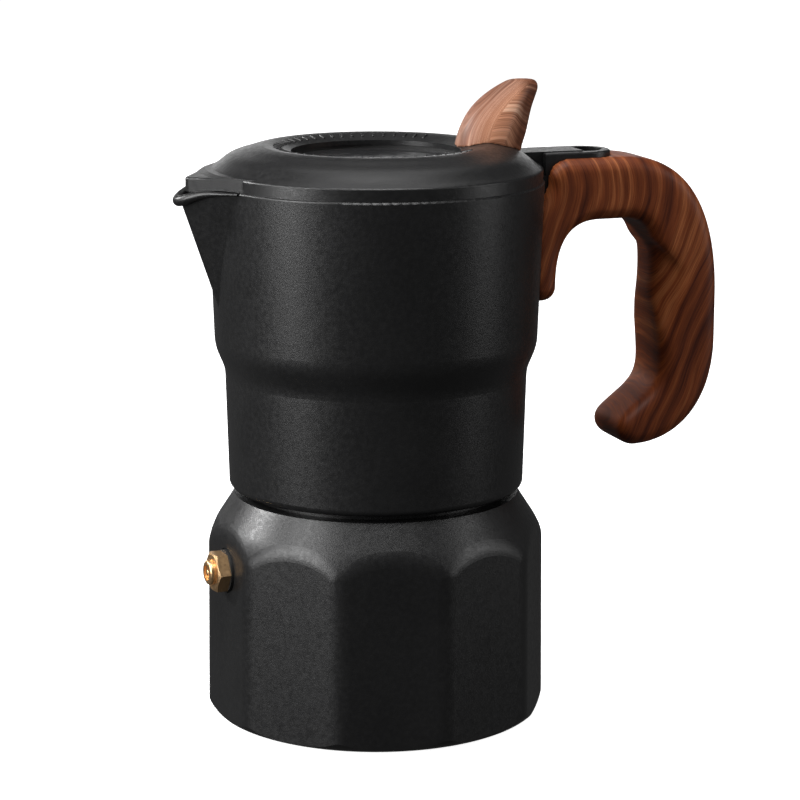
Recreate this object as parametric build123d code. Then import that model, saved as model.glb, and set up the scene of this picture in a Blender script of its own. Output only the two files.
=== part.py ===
from build123d import *
import math
import os

# A stove-top moka pot. Millimetres, +Z up. The origin is the centre of the boiler's base.
# The handle points to +X, the spout to -X, and the pot is symmetric about the XZ plane
# apart from the boiler, which stands where its thread stops it.

# ------------------------------------------------------------------ driving dimensions
# Screwed joint between boiler and collector: its bore sets the size of all that is round
NECK_BORE_RADIUS = 27.5
NECK_WALL = 3.4
NECK_HEIGHT = 11.7
THREAD_DEPTH = 0.6
THREAD_PITCH = 3.0
THREAD_TURNS = 3
THREAD_GAP = 0.4              # radial gap between the two sets of crests
THREAD_BITE = 0.2             # root of a ridge sunk in its wall
NECK_THREAD_RISE = 3.2        # land to the neck's first ridge
SKIRT_THREAD_DROP = 1.3       # skirt's ridges below the middle of the neck's grooves
SKIRT_WALL = 3.0              # collector's wall outside the thread
SKIRT_GAP = 1.6               # height of the open groove between boiler and collector

# Boiler
BOILER_HEIGHT = 54.3          # base to the flat land round the neck
BOILER_DRAFT = 0.5            # degrees that each facet leans in
FACET_COUNT = 10
FACET_EDGE_RADIUS = 8.0       # upright edges between the facets
FACET_ARCH_RADIUS = 7.0       # arched edges where the facets run out on the shoulder
BASE_EDGE_RADIUS = 4.6
BOILER_WALL = 3.0
BASE_THICKNESS = 4.0
INNER_FLOOR_RADIUS = 6.0      # round between the floor and the wall, inside
INNER_SHOULDER_RISE = 13.0    # height of the shoulder's curve, inside
SHOULDER_RADIUS = 20.5        # round of the shoulder, seen from the side
SHOULDER_LEAN = 33.0          # degrees from upright where the round ends in a cone
SHOULDER_WIDTH = 5.2          # edge of the land to the middle of a facet
LAND_WIDTH = 3.4              # flat land outside the neck
BOILER_CLOCK = 185.7          # degrees about Z of the facet that carries the valve

# Funnel
FUNNEL_FIT = 1.0              # radial gap between basket and neck bore
FUNNEL_WALL = 1.0
FUNNEL_RIM_INSET = 0.4        # rim's edge, inside the neck's outer face
BASKET_DEPTH = 22.0
SCREEN_THICKNESS = 0.8
SCREEN_LEDGE = 1.4            # radial width of the ledge under the screen
SCREEN_RINGS = 5
CONE_DROP = 4.0               # fall of the basket's floor to its collar
COLLAR_LENGTH = 4.0
TUBE_RADIUS = 4.6
TUBE_FLOOR_GAP = 3.0          # tube mouth to the boiler's floor

# Seal
GASKET_THICKNESS = 2.3
GASKET_LAP = 1.6              # gasket under the filter plate's edge
GASKET_GRIP = 0.2             # gasket outside the skirt's crests
PLATE_THICKNESS = 0.8
PLATE_OVERHANG = 0.1          # filter plate beyond the neck bore
PLATE_RINGS = 6
PLATE_MARGIN = 4.5            # plate's edge to the outermost holes
HOLE_RADIUS = 0.55            # perforations in the screen and the filter plate

# Collector
COLLECTOR_HEIGHT = 73.8       # bottom edge to rim
COLLECTOR_WALL = 2.8
COLLECTOR_FOOT_RADIUS = 1.6   # round of the bottom edge
COLLECTOR_RIM_EDGE = 0.45     # round of the rim's outer edge
LOWER_DRUM_FLARE = 0.75       # growth in radius, bottom edge to step
STEP_WIDTH = 2.5
UPPER_DRUM_FLARE = 1.3        # growth in radius, step to rim
STEP_LOW = 27.3               # bottom edge to where the lower drum ends
STEP_HIGH = 36.7              # bottom edge to where the upper drum starts
FLOOR_THICKNESS = 3.6
FLOOR_CROWN = 2.0             # rise of the chamber's floor toward the column
PLENUM_MARGIN = 2.4           # plate's edge to the hollow above it
PLENUM_RISE = 3.0
COLUMN_DROP = 12.2            # rim down to the column's top
COLUMN_RADIUS = 5.6           # at the top
COLUMN_BASE_RADIUS = 7.5
COLUMN_FOOT_RADIUS = 5.0
COLUMN_WALL = 1.6
COLUMN_CROWN_RADIUS = 3.36
OUTLET_WIDTH = 4.0
OUTLET_HEIGHT = 6.0

# Spout
SPOUT_LENGTH = 9.3            # nose of the vee beyond the rim
SPOUT_HALF_WIDTH = 13.8       # where the vee meets the rim
SPOUT_FOOT = 7.4              # bottom of the vee above the step
SPOUT_FOOT_NOSE = 0.6         # nose radius at the bottom of the vee
SPOUT_RIM_NOSE = 1.6          # and at the rim
SPOUT_WALL = 2.75             # along X, at the nose
SPOUT_DIP = 2.9               # rim falls by this to the spout's tip
SPOUT_DIP_LENGTH = 9.5        # along X, rim to tip
LIP_TIP_RADIUS = 1.3          # bead round the spout's edge, at the tip
LIP_SIDE_RADIUS = 0.8         # half way along each side
LIP_ROOT_RADIUS = 0.35        # and where it leaves the rim
LIP_REACH = 1.0               # bead's centre inside the point of the vee

# Lid
LID_BAND_HEIGHT = 2.7
LID_BAND_INSET = 0.4          # band inside the collector's rim
LID_BAND_EDGE = 0.7           # rise of the rounded edge above the band
LID_SLOPE_WIDTH = 13.05       # rim to crest
LID_CREST_HEIGHT = 8.45       # above the rim
LID_WALL = 2.0
LID_LOCATOR_DEPTH = 2.0
LID_LOCATOR_WALL = 1.6
LID_LOCATOR_FIT = 0.45
LID_GAP = 0.5                 # gap between the lid's rim and what stands behind it
BEAK_LENGTH = 7.0             # beak beyond the rim
BEAK_HALF_WIDTH = 13.2
BEAK_WALL = 1.4
BEAK_KINK = 2.2               # rim to where the shoulder drops to the flat of the beak
BEAK_KINK_DROP = 0.5
BEAK_FALL = 1.0               # shoulder down to the tip
BEAK_SKIRT = 0.7              # beak's side walls below the rim
BEAK_GAP = 0.2                # beak's side walls above the spout's falling edge
BEAK_EDGE_RADIUS = 0.5
BEAK_NOSE = 2.2
WINDOW_RING_WIDTH = 6.8       # crest to the opening over the window
WINDOW_RING_DROP = 1.4        # fall of that ring
WINDOW_RING_DEPTH = 1.1       # upright wall of the opening
WINDOW_THICKNESS = 2.2
WINDOW_LEDGE = 2.3            # radial width of the ledge that holds the window
WINDOW_COLLAR_WALL = 2.2
SEAL_THICKNESS = 0.8
SEAL_WIDTH = 2.0
RETAINER_THICKNESS = 1.5
RETAINER_WIDTH = 2.6

# Hinge and collector arm
HINGE_SETBACK = 10.45         # pin's axis behind the rim
HINGE_ABOVE_RIM = 2.6
PIN_RADIUS = 1.25
PIN_CLEARANCE = 0.05          # running clearance of the knuckle on the pin
KNUCKLE_RADIUS = 3.0
TONGUE_WIDTH = 9.0
TONGUE_FIT = 0.3              # gap each side of the tongue
TONGUE_THICKNESS = 3.9
CHEEK_WALL = 2.1
CHEEK_EDGE_RADIUS = 0.5
ARM_TAIL = 9.0                # pin's axis to the end of the arm
ARM_DEPTH = 5.7               # rim down to the arm's underside
ARM_RISE = 5.4                # rim up to the top of the cheeks
ARM_FLOOR = 4.0

# Handle
HANDLE_WIDTH = 20.0
HANDLE_EDGE_RADIUS = 3.2
HANDLE_FIT = 0.15             # gap between the handle and the casting
HANDLE_SETBACK = 0.95         # front face behind the rim
HANDLE_RISE = 4.0             # rim up to the top of the handle
HANDLE_DROP = 11.0            # rim down to the underside over the finger gap
HANDLE_CORNER = 5.0           # rounded top corner beside the lid
LEG_DROP = 30.2               # rim down to the foot of the leg that bears on the pot
LEG_SETBACK = 3.15            # foot of the leg, behind the rim
LEG_CORNER = 3.4
FINGER_ROOM = 28.3            # rim to the inner face of the grip
GAP_CORNER = 7.0
GAP_FLAT = 13.85              # flat underside, from the leg's curve to the grip
GRIP_DEPTH = 17.35            # inner face to back
GRIP_WAIST = 2.6              # inner face eases back by this above the toe
GRIP_DROP = 67.6              # rim down to the bottom of the toe
TOE_LENGTH = 25.6             # back of the grip to the tip of the toe
TOE_RADIUS = 4.2
TOE_SLOPE = 42.0              # degrees that the top of the toe falls toward the pot
GRIP_NOSE = 8.5               # depth of the rounds that the grip's inner side is worked to
GRIP_FLAT_HALF = 3.0          # half-width of what stays flat between them

# Screws
SCREW_SETBACK = 3.0           # handle's screw behind the hinge pin
SCREW_RADIUS = 1.9
SCREW_HEAD_RADIUS = 3.4
SCREW_HEAD_HEIGHT = 2.0
SCREW_RECESS_RADIUS = 4.0
SCREW_FIT = 0.2               # gap round a shank, and round a washer in its recess
SCREW_END_GAP = 0.4           # metal left over the tapped hole
WASHER_THICKNESS = 0.6
LID_SCREW_RADIUS = 1.45
LID_SCREW_HEAD_RADIUS = 2.7
LID_SCREW_HEAD_HEIGHT = 1.8
LID_SCREW_REACH = 7.0         # above the lid's crest
LID_BOSS_RADIUS = 3.4
LID_BOSS_RISE = 2.1           # rim up to the boss's underside

# Knob
KNOB_HALF_WIDTH = 7.0
KNOB_REAR_HALF = 2.4          # half-width of the flat back
KNOB_HEIGHT = 22.9            # rim to the tip
KNOB_LENGTH = 17.3
KNOB_BEVEL = 6.6              # length of the bevels beside the flat back
KNOB_INSET = 2.65             # back of the knob inside the rim
KNOB_ROOT = 1.5               # lowest section above the rim, inside the lid's slope
KNOB_SCREW_INSET = 9.05       # screw inside the rim
KNOB_TIP_RADIUS = 1.4

# Safety valve
VALVE_DROP = 16.3             # land down to the valve's axis
VALVE_HEX_RADIUS = 5.1        # across corners, halved
VALVE_HEX_LENGTH = 3.0
VALVE_HEX_CHAMFER = 0.5
VALVE_BOSS_RADIUS = 3.0
VALVE_BOSS_LENGTH = 1.4
VALVE_BOSS_RIM = 1.2          # width of the boss's rim round its dished middle
VALVE_SHANK_RADIUS = 3.0
VALVE_SHANK_END = 4.2         # shank inside the boiler's wall
VALVE_CAVITY_RADIUS = 2.0
VALVE_WASHER_THICKNESS = 0.6
SPOT_FACE_DEPTH = 0.3
SPOT_FACE_FIT = 0.3
STEM_RADIUS = 0.8
STEM_CLEARANCE = 0.1
STEM_RECESS = 0.1             # stem's tip below the boss's face
PLUNGER_CLEARANCE = 0.15
PLUNGER_HEAD_THICKNESS = 1.0
RETAINER_LENGTH = 1.2
RETAINER_BORE_FIT = 0.3       # ring's hole round the stem's size
SPRING_WIRE_RADIUS = 0.22
SPRING_TURNS = 6

# Heights that follow from these
LAND_Z = BOILER_HEIGHT
NECK_TOP = LAND_Z + NECK_HEIGHT
COLLECTOR_BOTTOM = LAND_Z + SKIRT_GAP
RIM_Z = COLLECTOR_BOTTOM + COLLECTOR_HEIGHT
GASKET_Z = NECK_TOP + FUNNEL_WALL
SEAT_Z = GASKET_Z + GASKET_THICKNESS
FLOOR_Z = SEAT_Z + FLOOR_THICKNESS + 0.6
SCREEN_Z = NECK_TOP - BASKET_DEPTH
SPOUT_FOOT_Z = COLLECTOR_BOTTOM + STEP_HIGH + SPOUT_FOOT
SLOT_FLOOR = RIM_Z - ARM_DEPTH + ARM_FLOOR
HINGE_Z = RIM_Z + HINGE_ABOVE_RIM
HANDLE_TOP = RIM_Z + HANDLE_RISE
HANDLE_UNDERSIDE = RIM_Z - HANDLE_DROP
WASHER_Z = HANDLE_UNDERSIDE + SCREW_HEAD_HEIGHT
LID_BAND_TOP = RIM_Z + LID_BAND_HEIGHT
LID_SHOULDER_Z = LID_BAND_TOP + LID_BAND_EDGE
LID_CREST_Z = RIM_Z + LID_CREST_HEIGHT
WINDOW_RIM_Z = LID_CREST_Z - WINDOW_RING_DROP
LEDGE_Z = WINDOW_RIM_Z - WINDOW_RING_DEPTH
WINDOW_TOP = LEDGE_Z - SEAL_THICKNESS
WINDOW_BOTTOM = WINDOW_TOP - WINDOW_THICKNESS
RETAINER_LOW = WINDOW_BOTTOM - RETAINER_THICKNESS
LID_BOSS_LOW = RIM_Z + LID_BOSS_RISE
KNOB_TOP = RIM_Z + KNOB_HEIGHT
VALVE_Z = LAND_Z - VALVE_DROP

# Radii that follow
NECK_RADIUS = NECK_BORE_RADIUS + NECK_WALL
LAND_RADIUS = NECK_RADIUS + LAND_WIDTH
BOILER_APOTHEM = LAND_RADIUS + SHOULDER_WIDTH
BOILER_CORNER = BOILER_APOTHEM / math.cos(math.pi / FACET_COUNT)
THREAD_CREST = NECK_RADIUS + THREAD_DEPTH
SKIRT_CREST = THREAD_CREST + THREAD_GAP
SKIRT_RADIUS = SKIRT_CREST + THREAD_DEPTH
COLLECTOR_LOWER_RADIUS = SKIRT_RADIUS + SKIRT_WALL
STEP_LOWER_RADIUS = COLLECTOR_LOWER_RADIUS + LOWER_DRUM_FLARE
STEP_UPPER_RADIUS = STEP_LOWER_RADIUS + STEP_WIDTH
COLLECTOR_RIM_RADIUS = STEP_UPPER_RADIUS + UPPER_DRUM_FLARE
CHAMBER_RIM_RADIUS = COLLECTOR_RIM_RADIUS - COLLECTOR_WALL
BASKET_RADIUS = NECK_BORE_RADIUS - FUNNEL_FIT
PLATE_RADIUS = NECK_BORE_RADIUS + PLATE_OVERHANG
PLENUM_RADIUS = PLATE_RADIUS - PLENUM_MARGIN
LOCATOR_RADIUS = CHAMBER_RIM_RADIUS - LID_LOCATOR_FIT
LID_RADIUS = COLLECTOR_RIM_RADIUS - LID_BAND_INSET
LID_CREST_RADIUS = COLLECTOR_RIM_RADIUS - LID_SLOPE_WIDTH
WINDOW_OPENING = LID_CREST_RADIUS - WINDOW_RING_WIDTH
LEDGE_RADIUS = WINDOW_OPENING + WINDOW_LEDGE

# Places along X and Y that follow
HINGE_X = COLLECTOR_RIM_RADIUS + HINGE_SETBACK
ARM_END_X = HINGE_X + ARM_TAIL
CHEEK_INNER = TONGUE_WIDTH / 2 + TONGUE_FIT
CHEEK_OUTER = CHEEK_INNER + CHEEK_WALL
SCREW_X = HINGE_X + SCREW_SETBACK
GRIP_INNER_X = COLLECTOR_RIM_RADIUS + FINGER_ROOM
GRIP_BACK_X = GRIP_INNER_X + GRIP_DEPTH
KNOB_REAR_X = COLLECTOR_RIM_RADIUS - KNOB_INSET
KNOB_SCREW_X = COLLECTOR_RIM_RADIUS - KNOB_SCREW_INSET


# ------------------------------------------------------------------ helpers
def closed(*pieces):
    """A face from curves, given in order round its outline."""
    return make_face([edge for piece in pieces for edge in piece.edges()])


def turned(*pieces):
    """A solid turned about Z from an outline of (radius, height) curves."""
    return revolve(Plane.XZ * closed(*pieces), Axis.Z)


def turned_polygon(*points):
    """A solid turned about Z from an outline of (radius, height) points."""
    return turned(Polyline(*points, close=True))


def rod(radius, low, high, x=0.0, y=0.0):
    """An upright cylinder between two heights."""
    return Pos(x, y, low) * Cylinder(radius, high - low, align=(Align.CENTER, Align.CENTER, Align.MIN))


def ring(outer, inner, low, high, x=0.0):
    """An upright cylinder with a hole through it."""
    return rod(outer, low, high, x=x) - rod(inner, low, high, x=x)


def slab(x_low, x_high, half_width, z_low, z_high):
    """A box centred on the XZ plane."""
    size = (x_high - x_low, 2 * half_width, z_high - z_low)
    return Pos(x_low, 0, z_low) * Box(*size, align=(Align.MIN, Align.CENTER, Align.MIN))


def cross_rod(radius, length, x, z):
    """A cylinder along Y, centred on the XZ plane."""
    return Pos(x, 0, z) * Rot(90, 0, 0) * Cylinder(radius, length)


def perforations(rings, spacing, low, high):
    """Upright holes in concentric rings, six more in each ring than in the last."""
    holes = [rod(HOLE_RADIUS, low, high)]
    for ring in range(1, rings + 1):
        count = 6 * ring
        for index in range(count):
            angle = 2 * math.pi * index / count
            radius = ring * spacing
            holes.append(rod(HOLE_RADIUS, low, high, radius * math.cos(angle), radius * math.sin(angle)))
    return holes


def pan_screw(x, seat_z, head_radius, head_height, shank_radius, tip_z):
    """Upright screw, head down, with a cross recess half as deep as its head."""
    head_low = seat_z - head_height
    head = rod(head_radius, head_low, seat_z)
    head = fillet(head.edges().group_by(Axis.Z)[0], 0.4 * head_height)
    slot = head_radius / 4
    cross = Box(head_radius, slot, head_height) + Box(slot, head_radius, head_height)
    screw = head + rod(shank_radius, seat_z, tip_z) - Pos(0, 0, head_low) * cross
    return Pos(x, 0, 0) * screw


# ------------------------------------------------------------------ boiler
def shoulder_start():
    """Height at which the boiler's side starts to round over."""
    lean = math.radians(SHOULDER_LEAN)
    arc_rise = SHOULDER_RADIUS * math.sin(lean)
    arc_inset = SHOULDER_RADIUS * (1 - math.cos(lean))
    cone_inset = BOILER_CORNER - arc_inset - LAND_RADIUS
    return LAND_Z - arc_rise - cone_inset / math.tan(lean)


def boiler_outline():
    """The boiler's round side, shoulder and neck, as an outline from the axis to the axis."""
    base = JernArc((BOILER_CORNER - BASE_EDGE_RADIUS, 0), (1, 0), BASE_EDGE_RADIUS, 90)
    side = Line(base @ 1, (BOILER_CORNER, shoulder_start()))
    shoulder = JernArc(side @ 1, (0, 1), SHOULDER_RADIUS, SHOULDER_LEAN)
    top = Polyline(shoulder @ 1, (LAND_RADIUS, LAND_Z), (NECK_RADIUS, LAND_Z), (NECK_RADIUS, NECK_TOP),
                   (0, NECK_TOP), (0, 0), base @ 0)
    return base, side, shoulder, top


def thread_ridges(root, crest, first_z):
    """Rings of thread section that stand between a root and a crest radius."""
    root_half = 0.35 * THREAD_PITCH
    crest_half = 0.1 * THREAD_PITCH
    rings = []
    for turn in range(THREAD_TURNS):
        middle = first_z + turn * THREAD_PITCH
        rings.append(turned_polygon((root, middle - root_half), (crest, middle - crest_half),
                                    (crest, middle + crest_half), (root, middle + root_half)))
    return rings


def boiler_inside():
    """The water space: a round drum under an elliptical shoulder, open through the neck."""
    radius = BOILER_APOTHEM - BOILER_WALL - math.tan(math.radians(BOILER_DRAFT)) * LAND_Z / 2
    crown_z = LAND_Z - BOILER_WALL
    spring_z = LAND_Z - INNER_SHOULDER_RISE
    floor_x = radius - INNER_FLOOR_RADIUS
    return turned(
        Line((0, BASE_THICKNESS), (floor_x, BASE_THICKNESS)),
        JernArc((floor_x, BASE_THICKNESS), (1, 0), INNER_FLOOR_RADIUS, 90),
        Line((radius, BASE_THICKNESS + INNER_FLOOR_RADIUS), (radius, spring_z)),
        EllipticalCenterArc((NECK_BORE_RADIUS, spring_z), radius - NECK_BORE_RADIUS, crown_z - spring_z,
                            arc_size=90),
        Polyline((NECK_BORE_RADIUS, crown_z), (NECK_BORE_RADIUS, NECK_TOP), (0, NECK_TOP),
                 (0, BASE_THICKNESS)),
    )


def valve_plane():
    """A plane at the valve's facet: its Z is the valve's axis, pointing out."""
    angle = math.radians(BOILER_CLOCK)
    reach = BOILER_APOTHEM - math.tan(math.radians(BOILER_DRAFT)) * VALVE_Z
    outward = (math.cos(angle), math.sin(angle), 0)
    origin = (reach * outward[0], reach * outward[1], VALVE_Z)
    return Plane(origin=origin, x_dir=(0, 0, 1), z_dir=outward)


def boiler_body():
    """Facetted pot with a round base and shoulder, threaded neck and spot-faced hole for the valve."""
    plan = Rot(0, 0, BOILER_CLOCK - 180 / FACET_COUNT) * RegularPolygon(BOILER_CORNER, FACET_COUNT)
    plan = fillet(plan.vertices(), FACET_EDGE_RADIUS)
    prism = extrude(plan, amount=NECK_TOP, taper=BOILER_DRAFT)
    body = prism & turned(*boiler_outline())
    on_shoulder = [edge for edge in body.edges() if shoulder_start() < edge.center().Z < LAND_Z - 1]
    arches = [edge for edge in on_shoulder if abs(edge.tangent_at(0.5).Z) < 0.7]
    body = fillet(arches, FACET_ARCH_RADIUS) - boiler_inside()
    for ridge in thread_ridges(NECK_RADIUS - THREAD_BITE, THREAD_CREST, LAND_Z + NECK_THREAD_RISE):
        body = body + ridge
    hole = Cylinder(VALVE_SHANK_RADIUS, 4 * BOILER_WALL)
    spot_face = rod(VALVE_HEX_RADIUS + SPOT_FACE_FIT, -SPOT_FACE_DEPTH, BOILER_WALL)
    return body - valve_plane() * (hole + spot_face)


# ------------------------------------------------------------------ safety valve
# Distances along the valve's axis, outward from the facet
VALVE_INNER_END = -(BOILER_WALL + VALVE_SHANK_END)
VALVE_FACE = VALVE_WASHER_THICKNESS + VALVE_HEX_LENGTH
VALVE_TIP = VALVE_FACE + VALVE_BOSS_LENGTH
VALVE_SPRING_SEAT = VALVE_FACE - 1.0


def valve_body():
    """Hex head and round boss outside the wall, threaded shank through it, spring cavity inside."""
    hexagon = Rot(0, 0, 30) * RegularPolygon(VALVE_HEX_RADIUS, 6)
    head = Pos(0, 0, VALVE_WASHER_THICKNESS) * extrude(hexagon, amount=VALVE_HEX_LENGTH)
    crown = rod(VALVE_HEX_RADIUS, VALVE_WASHER_THICKNESS, VALVE_FACE)
    crown = chamfer(crown.edges().group_by(Axis.Z)[-1], VALVE_HEX_CHAMFER, 1.8 * VALVE_HEX_CHAMFER)
    body = (head & crown) + rod(VALVE_SHANK_RADIUS, VALVE_INNER_END, VALVE_WASHER_THICKNESS)
    boss = rod(VALVE_BOSS_RADIUS, VALVE_FACE, VALVE_TIP)
    boss = fillet(boss.edges().group_by(Axis.Z)[-1], VALVE_BOSS_LENGTH / 2)
    body = body + boss
    body = body - rod(VALVE_CAVITY_RADIUS, VALVE_INNER_END, VALVE_SPRING_SEAT)
    body = body - rod(STEM_RADIUS + STEM_CLEARANCE, VALVE_SPRING_SEAT, VALVE_TIP)
    dish = rod(VALVE_BOSS_RADIUS - VALVE_BOSS_RIM, VALVE_TIP - 2 * SPOT_FACE_DEPTH, VALVE_TIP)
    return valve_plane() * (body - dish)


def valve_washer():
    low = -SPOT_FACE_DEPTH
    return valve_plane() * ring(VALVE_HEX_RADIUS, VALVE_SHANK_RADIUS, low, VALVE_WASHER_THICKNESS)


def valve_plunger():
    """Stem that shows in the boss, with the head that closes the steam hole."""
    head_low = VALVE_INNER_END + RETAINER_LENGTH
    head = rod(VALVE_CAVITY_RADIUS - PLUNGER_CLEARANCE, head_low, head_low + PLUNGER_HEAD_THICKNESS)
    stem = rod(STEM_RADIUS, head_low, VALVE_TIP - STEM_RECESS)
    stem = fillet(stem.edges().group_by(Axis.Z)[-1], 0.4 * STEM_RADIUS)
    return valve_plane() * (head + stem)


def valve_spring():
    """Coil between the plunger's head and the seat in the hex."""
    low = VALVE_INNER_END + RETAINER_LENGTH + PLUNGER_HEAD_THICKNESS + SPRING_WIRE_RADIUS
    height = VALVE_SPRING_SEAT - SPRING_WIRE_RADIUS - low
    radius = (VALVE_CAVITY_RADIUS + STEM_RADIUS) / 2
    path = Pos(0, 0, low) * Helix(pitch=height / SPRING_TURNS, height=height, radius=radius)
    section = Plane(origin=path @ 0, z_dir=path % 0) * Circle(SPRING_WIRE_RADIUS)
    return valve_plane() * sweep(section, path=path)


def valve_retainer():
    """Pressed ring at the inner end that seats the plunger and lets steam in."""
    bore = STEM_RADIUS + RETAINER_BORE_FIT
    return valve_plane() * ring(VALVE_CAVITY_RADIUS, bore, VALVE_INNER_END, VALVE_INNER_END + RETAINER_LENGTH)


# ------------------------------------------------------------------ funnel
def funnel_cup():
    """Coffee basket: rim on the neck, straight side, ledge for the screen, cone down to the tube's collar."""
    inner = BASKET_RADIUS - FUNNEL_WALL
    ledge = inner - SCREEN_LEDGE
    rim = NECK_RADIUS - FUNNEL_RIM_INSET
    collar = TUBE_RADIUS + FUNNEL_WALL
    cone_low = SCREEN_Z - CONE_DROP
    return turned_polygon(
        (inner, GASKET_Z), (rim, GASKET_Z), (rim, NECK_TOP), (BASKET_RADIUS, NECK_TOP),
        (BASKET_RADIUS, SCREEN_Z - FUNNEL_WALL), (collar, cone_low - FUNNEL_WALL),
        (collar, cone_low - COLLAR_LENGTH), (TUBE_RADIUS, cone_low - COLLAR_LENGTH), (TUBE_RADIUS, cone_low),
        (ledge, SCREEN_Z - FUNNEL_WALL / 2), (ledge, SCREEN_Z), (inner, SCREEN_Z),
    )


def funnel_tube():
    """Riser from near the boiler's floor into the basket's collar, cut square at both ends."""
    low = BASE_THICKNESS + TUBE_FLOOR_GAP
    return ring(TUBE_RADIUS, TUBE_RADIUS - FUNNEL_WALL, low, SCREEN_Z - CONE_DROP)


def funnel_screen():
    radius = BASKET_RADIUS - FUNNEL_WALL
    high = SCREEN_Z + SCREEN_THICKNESS
    spacing = radius / (SCREEN_RINGS + 1)
    return rod(radius, SCREEN_Z, high) - perforations(SCREEN_RINGS, spacing, SCREEN_Z, high)


# ------------------------------------------------------------------ seal
def gasket():
    """Flat ring between the basket's rim and the collector's seat, rebated for the filter plate."""
    outer = SKIRT_CREST + GASKET_GRIP
    bore = PLATE_RADIUS - GASKET_LAP
    rebate_z = SEAT_Z - PLATE_THICKNESS
    return turned_polygon((bore, GASKET_Z), (outer, GASKET_Z), (outer, SEAT_Z), (PLATE_RADIUS, SEAT_Z),
                          (PLATE_RADIUS, rebate_z), (bore, rebate_z))


def filter_plate():
    low = SEAT_Z - PLATE_THICKNESS
    spacing = (PLATE_RADIUS - PLATE_MARGIN) / PLATE_RINGS
    return rod(PLATE_RADIUS, low, SEAT_Z) - perforations(PLATE_RINGS, spacing, low, SEAT_Z)


# ------------------------------------------------------------------ collector
def collector_side(grow):
    """Stepped side of the collector, from its bottom edge up to the rim, moved outward by grow."""
    low_z = COLLECTOR_BOTTOM + STEP_LOW
    high_z = COLLECTOR_BOTTOM + STEP_HIGH
    lower = (STEP_LOWER_RADIUS + grow, low_z)
    upper = (STEP_UPPER_RADIUS + grow, high_z)
    ease = (high_z - low_z) * 0.4
    return (
        Line((COLLECTOR_LOWER_RADIUS + grow, COLLECTOR_BOTTOM), lower),
        Bezier(lower, (lower[0] + 0.15, low_z + ease), (upper[0] - 0.2, high_z - 1.2 * ease), upper),
        Line(upper, (COLLECTOR_RIM_RADIUS + grow, RIM_Z)),
    )


def collector_outside(grow=0.0):
    """The collector's solid outer form, grown outward to leave a fit round it."""
    return turned(*collector_side(grow),
                  Polyline((COLLECTOR_RIM_RADIUS + grow, RIM_Z), (0, RIM_Z), (0, COLLECTOR_BOTTOM),
                           (COLLECTOR_LOWER_RADIUS + grow, COLLECTOR_BOTTOM)))


def vee(nose_x, half_width, back_x, z, nose_radius):
    """Triangle in plan with a rounded nose toward -X."""
    outline = Polyline((nose_x, 0), (back_x, half_width), (back_x, -half_width), close=True)
    plan = make_face(outline.edges())
    nose = plan.vertices().sort_by(Axis.X)[0]
    return Pos(0, 0, z) * fillet(nose, nose_radius)


def spout_form(inset, top):
    """Vee-shaped spout that grows out of the side up to the rim; inset moves its nose inward."""
    rim_nose = COLLECTOR_RIM_RADIUS + SPOUT_LENGTH
    foot_nose = STEP_UPPER_RADIUS + 0.1
    rise = (top - SPOUT_FOOT_Z) / (RIM_Z - SPOUT_FOOT_Z)
    top_nose = foot_nose + (rim_nose - foot_nose) * rise
    slope = SPOUT_HALF_WIDTH / (rim_nose - math.sqrt(COLLECTOR_RIM_RADIUS ** 2 - SPOUT_HALF_WIDTH ** 2))
    back = STEP_UPPER_RADIUS - 5
    low = vee(inset - foot_nose, (foot_nose - inset - back) * slope, -back, SPOUT_FOOT_Z, SPOUT_FOOT_NOSE)
    high = vee(inset - top_nose, (top_nose - inset - back) * slope, -back, top, SPOUT_RIM_NOSE)
    return loft([low, high], ruled=True)


def spout_fall(rise=0.0):
    """Side view of the spout's edge, from level at the rim down to the tip, raised by a gap."""
    start_x = -COLLECTOR_RIM_RADIUS
    end_x = start_x - SPOUT_DIP_LENGTH
    high_z = RIM_Z + rise
    low_z = high_z - SPOUT_DIP
    return Bezier((start_x, high_z), (start_x - 4.2, high_z), (end_x + 3.6, low_z), (end_x, low_z))


def spout_dip():
    """What is cut away over the spout so that its rim falls toward the tip."""
    fall = spout_fall()
    top = RIM_Z + SPOUT_DIP
    end_x = (fall @ 1).X
    above = Polyline(fall @ 1, (end_x - 5, RIM_Z - SPOUT_DIP), (end_x - 5, top),
                     (-COLLECTOR_RIM_RADIUS, top), fall @ 0)
    return extrude(Plane.XZ * closed(fall, above), amount=SPOUT_HALF_WIDTH, both=True)


def spout_lip():
    """Bead round the spout's edge: thin where it leaves the rim, thick at the tip."""
    point_x = COLLECTOR_RIM_RADIUS + SPOUT_LENGTH
    root_x = math.sqrt(COLLECTOR_RIM_RADIUS ** 2 - SPOUT_HALF_WIDTH ** 2)
    side = []
    for share, drop in ((0.02, LIP_ROOT_RADIUS), (0.3, 0.55), (0.6, 0.4 * SPOUT_DIP)):
        side.append((-root_x - share * (point_x - root_x), (1 - share) * SPOUT_HALF_WIDTH, RIM_Z - drop))
    tip = (LIP_REACH - point_x, 0, RIM_Z - SPOUT_DIP)
    path = Spline(*[(x, -y, z) for x, y, z in side], tip, *reversed(side))
    radii = (LIP_ROOT_RADIUS, LIP_SIDE_RADIUS, LIP_TIP_RADIUS, LIP_SIDE_RADIUS, LIP_ROOT_RADIUS)
    sections = [Plane(origin=path @ (index / 4), z_dir=path % (index / 4)) * Circle(radius)
                for index, radius in enumerate(radii)]
    return sweep(sections, path=path, multisection=True)


def arm_plan(half_width, end_x, low_z, high_z, start_x):
    """Straight-sided bar from the pot with a half-round end."""
    return (slab(start_x, end_x - half_width, half_width, low_z, high_z)
            + rod(half_width, low_z, high_z, x=end_x - half_width))


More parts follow.
